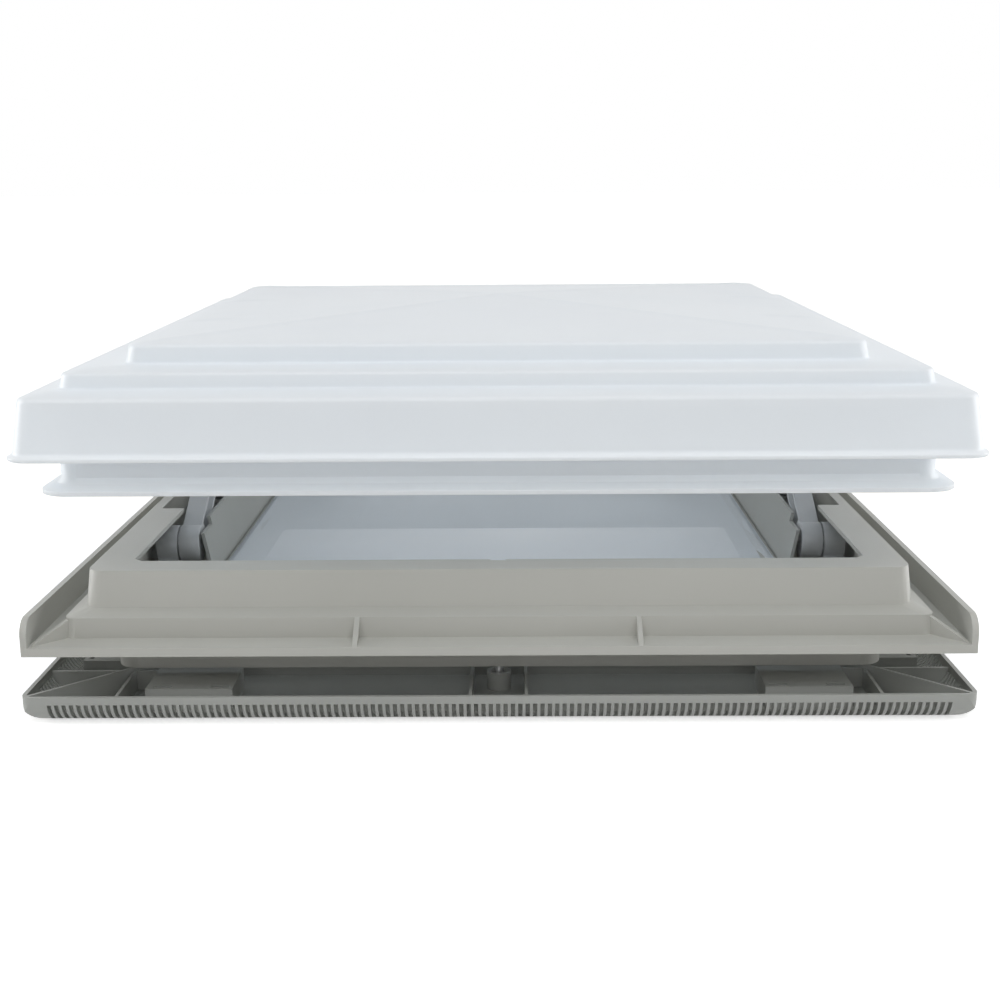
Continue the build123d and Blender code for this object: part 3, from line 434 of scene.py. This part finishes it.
def ring_pattern():
    """For each point of a ring, the corner that it belongs to and the direction of its edge, as unit steps.

    On a corner arc the corner is fixed and the direction turns by a right angle. Along a side the direction
    is fixed and the corner slides in even steps from one corner of the side to the next.
    """
    turn = np.linspace(0.0, np.pi / 2, CORNER_STEPS + 1)
    slide = np.linspace(1.0, -1.0, SIDE_STEPS + 1)[1:-1]
    arc = np.column_stack([np.cos(turn), np.sin(turn)])
    corner = np.vstack([np.ones((len(turn), 2)), np.column_stack([slide, np.ones_like(slide)])])
    edge = np.vstack([arc, np.tile([0.0, 1.0], (len(slide), 1))])
    quarter = np.array([[0.0, 1.0], [-1.0, 0.0]])
    turns = [np.linalg.matrix_power(quarter, k) for k in range(4)]
    return np.vstack([corner @ t for t in turns]), np.vstack([edge @ t for t in turns])


def square_rings(half, height, core):
    """Rings of rounded squares, as ring x point x 3, in millimetres.

    A point is its corner times the core, which is the corner centre's distance from the middle lines, plus
    its edge direction times the corner radius, which is the half width less the core.
    """
    corner, edge = ring_pattern()
    flat = corner[None] * core[:, None, None] + edge[None] * (half - core)[:, None, None]
    tall = np.broadcast_to(height[:, None, None], (len(half), len(corner), 1))
    return np.concatenate([flat, tall], axis=2)


def piece_from_rings(name, rings, material):
    """A closed mesh from a stack of rings: a face joins each four neighbours, and two lids close the ends.

    The mesh's volume, added up from the faces, tells which way they turn: if it is negative, all are turned.
    """
    count, around = rings.shape[:2]
    first = np.arange(count - 1)[:, None] * around
    here, onward = np.arange(around)[None], (np.arange(around)[None] + 1) % around
    quads = np.stack([first + here, first + onward, first + around + onward, first + around + here], axis=2)
    quads = quads.reshape(-1, 4)
    points = rings.reshape(-1, 3) * MM
    a, b, c, d = (points[quads[:, k]] for k in range(4))
    volume = (np.einsum("ij,ij->i", a, np.cross(b, c)) + np.einsum("ij,ij->i", a, np.cross(c, d))).sum() / 6
    start_cap, end_cap = np.arange(around)[::-1], np.arange(around) + (count - 1) * around
    faces = [*quads, start_cap, end_cap]
    if volume < 0:
        faces = [face[::-1] for face in faces]
    mesh = bpy.data.meshes.new(name)
    mesh.from_pydata(points.tolist(), [], [face.tolist() for face in faces])
    mesh.materials.append(material)
    mesh.polygons.foreach_set("use_smooth", np.ones(len(faces), bool))
    mesh.set_sharp_from_angle(angle=radians(40))
    made = bpy.data.objects.new(name, mesh)
    bpy.context.scene.collection.objects.link(made)
    print(name, "has", len(faces), "faces, volume in cm3", round(abs(volume) * 1e6, 1))
    return made


# %% [markdown]
# ## A profile with rounded corners
# A moulded wall is drawn as a few corner points, each with the radius that the mould gives it. The straight
# stretches and the arcs between them follow from that, so the drawing stays short.

# %% Rounded profile
def rounded_profile(corners, steps=5):
    """Replaces each corner of a profile by the arc that touches both its lines.

    A corner is (half width, height, radius, core). The arc starts and ends at radius / tan(half the angle)
    from the corner, and its points are turned evenly about the arc's centre. End points stay as they are.
    """
    corners = np.array(corners, float)
    rows = [corners[0, [0, 1, 3]][None]]
    share = np.linspace(0.0, 1.0, steps + 1)[:, None]
    for before, here, after in zip(corners, corners[1:], corners[2:]):
        back, ahead = before[:2] - here[:2], after[:2] - here[:2]
        back_length, ahead_length = np.linalg.norm(back), np.linalg.norm(ahead)
        back, ahead = back / back_length, ahead / ahead_length
        half_angle = np.arccos(np.clip(back @ ahead, -1, 1)) / 2
        reach = min(here[2] / np.tan(half_angle), 0.49 * back_length, 0.49 * ahead_length)
        radius = reach * np.tan(half_angle)
        middle = here[:2] + (back + ahead) / np.linalg.norm(back + ahead) * radius / np.sin(half_angle)
        start, end = here[:2] + back * reach - middle, here[:2] + ahead * reach - middle
        angle = np.pi - 2 * half_angle
        arc = middle + (np.sin((1 - share) * angle) * start + np.sin(share * angle) * end) / np.sin(angle)
        rows.append(np.column_stack([arc, np.full(len(arc), here[3])]))
    rows.append(corners[-1, [0, 1, 3]][None])
    return np.vstack(rows)


# %% [markdown]
# ## The lid's outer shell
# The outer shell is one white moulding: a lip, a leaning skirt, two low tiers and a very flat four-sided
# roof. Rain has to run off it, hence the roof, and a pressed bead along each of the four ridges keeps the
# thin sheet from drumming. Two small pads on the left and two on the right are seen in the photo. A
# box with bevelled edges would miss all this softness, so the shell is a profile carried round a square,
# with the beads and pads as smooth bumps on top of it.

# %% The lid's outer shell
shell_low, shell_high = (np.array(corner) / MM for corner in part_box("lid_outer_shell"))
LIP_HALF = shell_high[0]
LIP_BOTTOM = shell_low[2]
APEX = shell_high[2]
SHELL_WALL = 2.5
SKIRT_FOOT, SKIRT_TOP, SKIRT_SHOULDER = 234.4, 231.2, 163.0
TIER_ONE, TIER_ONE_FOOT, TIER_ONE_TOP = 214.8, 165.3, 173.0
TIER_TWO, TIER_TWO_FOOT, TIER_TWO_TOP = 188.0, 174.0, 183.6
TIER_DRAFT = 1.2
RIDGE_RADIUS = 9.0
BEAD_HEIGHT, BEAD_WIDTH = 0.75, 4.6
PAD_HEIGHT, PAD_LONG, PAD_WIDE = 0.8, 14.0, 4.0
PAD_PLACES = ((164.0, -75.0), (163.0, 50.0))
ROOF_EDGE_POINTS = 4

shell_outside = rounded_profile([
    (SKIRT_FOOT - SHELL_WALL, LIP_BOTTOM, 0.0, 222.0),
    (LIP_HALF, LIP_BOTTOM, 1.0, 224.0),
    (LIP_HALF, LIP_BOTTOM + 2.0, 0.8, 224.0),
    (SKIRT_FOOT, LIP_BOTTOM + 3.2, 2.5, 224.0),
    (SKIRT_TOP, SKIRT_SHOULDER, 3.0, 221.0),
    (TIER_ONE, TIER_ONE_FOOT, 1.6, 206.0),
    (TIER_ONE - TIER_DRAFT, TIER_ONE_TOP, 2.0, 205.0),
    (TIER_TWO, TIER_TWO_FOOT, 1.6, 180.0),
    (TIER_TWO - TIER_DRAFT, TIER_TWO_TOP, 2.4, 178.0),
    (TIER_TWO - RIDGE_RADIUS, TIER_TWO_TOP + 0.6, 30.0, TIER_TWO - 2 * RIDGE_RADIUS),
])


def roof_heights(half, edge_half, edge_height, apex_height, soft=12.0):
    """The roof's height at a half width: it rises in a straight line to the middle, which is rounded off.

    The distance from the middle is softened by a root of squares, so that the slope fades within the soft
    radius, and the rise is scaled to end at the apex.
    """
    rounded = np.sqrt(half ** 2 + soft ** 2) - soft
    edge = np.sqrt(edge_half ** 2 + soft ** 2) - soft
    return apex_height - (apex_height - edge_height) * rounded / edge


def relief_on_roof(points):
    """How far beads and pads raise the roof: a bell curve across each diagonal, and soft-edged pads."""
    x, y = np.abs(points[..., 0]), points[..., 1]
    size = np.maximum(x, np.abs(y))
    across = (x - np.abs(y)) / np.sqrt(2)
    fade = np.clip((TIER_TWO - 4 - size) / 12, 0, 1)
    raised = BEAD_HEIGHT * np.exp(-(across / BEAD_WIDTH) ** 2) * fade
    for pad_x, pad_y in PAD_PLACES:
        away = ((x - pad_x) / PAD_LONG) ** 4 + ((y - pad_y) / PAD_WIDE) ** 4
        raised = raised + PAD_HEIGHT / (1 + away)
    return raised


roof_half = np.concatenate([np.arange(176.0, 146.0, -1.5), np.arange(146.0, 6.0, -5.0), [4.0, 2.0, 0.8]])
roof_edge = shell_outside[-1]
roof = np.column_stack([
    roof_half,
    roof_heights(roof_half, roof_edge[0], roof_edge[1], APEX - BEAD_HEIGHT),
    np.maximum(roof_half - RIDGE_RADIUS, 0.2 * roof_half),
])
shell_inside = rounded_profile([
    (4.0, APEX - BEAD_HEIGHT - SHELL_WALL, 0.0, 1.0),
    (TIER_TWO - TIER_DRAFT - SHELL_WALL, TIER_TWO_TOP - SHELL_WALL, 2.0, 178.0),
    (TIER_TWO - SHELL_WALL, TIER_TWO_FOOT - SHELL_WALL, 3.0, 178.0),
    (TIER_ONE - TIER_DRAFT - SHELL_WALL, TIER_ONE_TOP - SHELL_WALL, 1.5, 205.0),
    (TIER_ONE - SHELL_WALL, TIER_ONE_FOOT - SHELL_WALL, 3.0, 205.0),
    (SKIRT_TOP - SHELL_WALL, SKIRT_SHOULDER - SHELL_WALL, 1.5, 221.0),
    (SKIRT_FOOT - SHELL_WALL, LIP_BOTTOM, 0.0, 222.0),
])
shell_profile = np.vstack([shell_outside, roof])
rings_outside = square_rings(*shell_profile.T)
on_roof = slice(len(shell_outside) - ROOF_EDGE_POINTS, None)
rings_outside[on_roof, :, 2] += relief_on_roof(rings_outside[on_roof])
rings_inside = square_rings(*shell_inside[:-1].T)
outer_shell = piece_from_rings(
    "lid_shell_outer", np.concatenate([rings_outside[::-1], rings_inside[::-1]]), finishes["lid_white"])
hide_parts("lid_outer_shell")
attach(outer_shell, "lid")

# %% [markdown]
# ## The fly net
# The net is stretched over its frame and pressed into it along the edges. Between the bars it sags by about
# a millimetre and shows the slow waves of cloth that was pulled a little more here than there. It is a
# plain grid of points, lifted by two waves that fade out at the bars, and Solidify gives it a thread's
# thickness.

# %% The fly net
net_low, net_high = (np.array(corner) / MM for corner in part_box("flyscreen_mesh"))
NET_CELLS = 96
NET_BAR = 8.0
NET_SAG, NET_WAVE = 1.0, 0.35
NET_THICKNESS = 0.3


def net_surface(u, v, half):
    """The height of the net above its bars at a place from -1 to 1 each way, in millimetres.

    The sag is a product of two parabolas that starts at the bars, and two crossing sine waves ride on it.
    """
    free = np.clip((1 - u ** 2) * half / NET_BAR, 0, 1) * np.clip((1 - v ** 2) * half / NET_BAR, 0, 1)
    sag = -NET_SAG * (1 - u ** 2) * (1 - v ** 2)
    waves = NET_WAVE * (np.sin(5.1 * u + 1.7 * v) + np.sin(1.3 * u - 6.3 * v + 1.0)) / 2
    return free * (sag + waves)


net_half = net_high[0]
grid = np.linspace(-1.0, 1.0, NET_CELLS + 1)
net_u, net_v = np.meshgrid(grid, grid, indexing="ij")
net_points = np.stack([
    net_u * net_half, net_v * net_half,
    net_low[2] + NET_THICKNESS / 2 + 0.05 + net_surface(net_u, net_v, net_half)], axis=2)
row = np.arange(NET_CELLS)[:, None] * (NET_CELLS + 1) + np.arange(NET_CELLS)[None]
net_faces = np.stack([row, row + NET_CELLS + 1, row + NET_CELLS + 2, row + 1], axis=2).reshape(-1, 4)
net_mesh = bpy.data.meshes.new("fly_net")
net_mesh.from_pydata((net_points.reshape(-1, 3) * MM).tolist(), [], net_faces.tolist())
net_mesh.materials.append(finishes["net"])
net_mesh.polygons.foreach_set("use_smooth", np.ones(len(net_faces), bool))
fly_net = bpy.data.objects.new("fly_net", net_mesh)
bpy.context.scene.collection.objects.link(fly_net)
thicken = fly_net.modifiers.new("thread_thickness", "SOLIDIFY")
thicken.thickness = NET_THICKNESS * MM
thicken.offset = 0.0
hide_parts("flyscreen_mesh")
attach(fly_net, "flyscreen")
print("net of", round(2 * net_half, 1), "mm square,", len(net_faces), "faces")

# %% [markdown]
# ## Radii for the moulded solids
# Thick pieces have larger radii than thin ones. The frame, the arms, the seal and the lid's inner shell get
# 0.6 to 0.7 mm, the handles and the fly screen's frame and tab 0.5 mm, the brackets 0.4 mm and the screw caps
# 0.3 mm. The trim, the pins, the screws and the other small pieces keep the edges of their solids.

# %% Radii for the moulded solids
EDGE_RADII = {
    "outer_frame": 0.6, "lid_inner_shell": 0.7, "flyscreen_frame": 0.5, "flyscreen_tab": 0.5,
    "pull_handle_front": 0.5, "pull_handle_rear": 0.5, "lid_seal": 0.6, "screw_caps": 0.3,
}
for corner_name in ("front_left", "front_right", "rear_left", "rear_right"):
    EDGE_RADII[f"arm_{corner_name}"] = 0.6
    EDGE_RADII[f"pivot_bracket_{corner_name}"] = 0.4
    EDGE_RADII[f"lid_bracket_{corner_name}"] = 0.4
for node, radius in EDGE_RADII.items():
    soften(node, radius)
print("rounded", len(EDGE_RADII), "solids")

# %% [markdown]
# ## Floor and light
# The hatch stands on a pale floor in a white room. The room could be built of walls and softboxes in view.
# It is simpler to let the world shine evenly and faintly, and to let camera, gloss and glass see it as plain
# white. Five large soft lamps give the forms their shading: one overhead, one high and one low in front, and
# one low on each side, whose light falls through the gap under the lid. The floor keeps the hatch's shadow.
# Away from the hatch, where there is no shadow to keep, it fades to the same white as the room.

# %% Floor and light
FLOOR_SIZE = 30.0
FLOOR_COLOUR = (0.92, 0.92, 0.92, 1.0)
ROOM_LEVEL = 0.05
FLOOR_LIFT = 0.55
FADE_START, FADE_END = 0.5, 1.5

world = bpy.data.worlds.new("white_room")
bpy.context.scene.world = world
world.use_nodes = True
sky = world.node_tree
sky.nodes.clear()
path = add_node(sky, "ShaderNodeLightPath")
seen = maths(sky, "MAXIMUM", path.outputs["Is Camera Ray"], maths(
    sky, "MAXIMUM", path.outputs["Is Glossy Ray"], path.outputs["Is Transmission Ray"]))
room = add_node(sky, "ShaderNodeBackground", {"Strength": stretch(sky, seen, 0.0, 1.0, ROOM_LEVEL, 1.0)})
room.inputs["Color"].default_value = (1.0, 1.0, 1.0, 1.0)
add_node(sky, "ShaderNodeOutputWorld", {"Surface": room.outputs["Background"]})

floor_material = bpy.data.materials.new("pale_floor")
floor_material.use_nodes = True
floor_tree = floor_material.node_tree
floor_shader = floor_tree.nodes["Principled BSDF"]
floor_shader.inputs["Base Color"].default_value = FLOOR_COLOUR
floor_shader.inputs["Roughness"].default_value = 0.9
floor_shader.inputs["Specular IOR Level"].default_value = 0.1
floor_path = add_node(floor_tree, "ShaderNodeLightPath")
floor_seen = maths(
    floor_tree, "MAXIMUM", floor_path.outputs["Is Camera Ray"], floor_path.outputs["Is Glossy Ray"])
floor_distance = add_node(floor_tree, "ShaderNodeVectorMath", {
    0: add_node(floor_tree, "ShaderNodeTexCoord").outputs["Object"]}, operation="LENGTH").outputs["Value"]
floor_lift = stretch(floor_tree, floor_distance, FADE_START, FADE_END, FLOOR_LIFT, 1.0)
floor_tree.links.new(
    maths(floor_tree, "MULTIPLY", floor_seen, floor_lift), floor_shader.inputs["Emission Strength"])
floor_shader.inputs["Emission Color"].default_value = (1.0, 1.0, 1.0, 1.0)
floor_mesh = bpy.data.meshes.new("floor")
floor_corners = FLOOR_SIZE / 2 * np.array([[-1, -1, 0], [1, -1, 0], [1, 1, 0], [-1, 1, 0]])
floor_mesh.from_pydata(floor_corners.tolist(), [], [[0, 1, 2, 3]])
floor_mesh.materials.append(floor_material)
floor = bpy.data.objects.new("floor", floor_mesh)
bpy.context.scene.collection.objects.link(floor)


def soft_lamp(name, place, aim, size, power):
    """A square area lamp at a place in metres, turned towards a point."""
    data = bpy.data.lights.new(name, "AREA")
    data.shape = "SQUARE"
    data.size = size
    data.energy = power
    lamp = bpy.data.objects.new(name, data)
    back = np.array(place, float) - np.array(aim, float)
    back = back / np.linalg.norm(back)
    side = np.cross((0.0, 1.0, 0.0) if abs(back[2]) > 0.9 else (0.0, 0.0, 1.0), back)
    side = side / np.linalg.norm(side)
    matrix = np.eye(4)
    matrix[:3, :3] = np.column_stack([side, np.cross(back, side), back])
    matrix[:3, 3] = place
    lamp.matrix_world = Matrix(matrix.tolist())
    bpy.context.scene.collection.objects.link(lamp)
    return lamp


middle = (0.0, 0.0, 0.1)
lamps = [
    soft_lamp("overhead", (0.0, -0.6, 1.9), middle, 2.4, 22.0),
    soft_lamp("front_high", (0.0, -1.6, 1.4), middle, 2.2, 12.6),
    soft_lamp("front_low", (0.0, -2.2, 0.5), middle, 1.6, 2.2),
    soft_lamp("low_left", (-1.7, 0.1, 0.45), middle, 1.0, 12.0),
    soft_lamp("low_right", (1.7, 0.1, 0.45), middle, 1.0, 12.0),
]
print("lamps:", ", ".join(lamp.name for lamp in lamps))

# %% [markdown]
# ## Colours as they are
# The picture shows colours as they were written, so the view transform is the plain standard one.

# %% Finish
bpy.context.scene.view_settings.view_transform = "Standard"
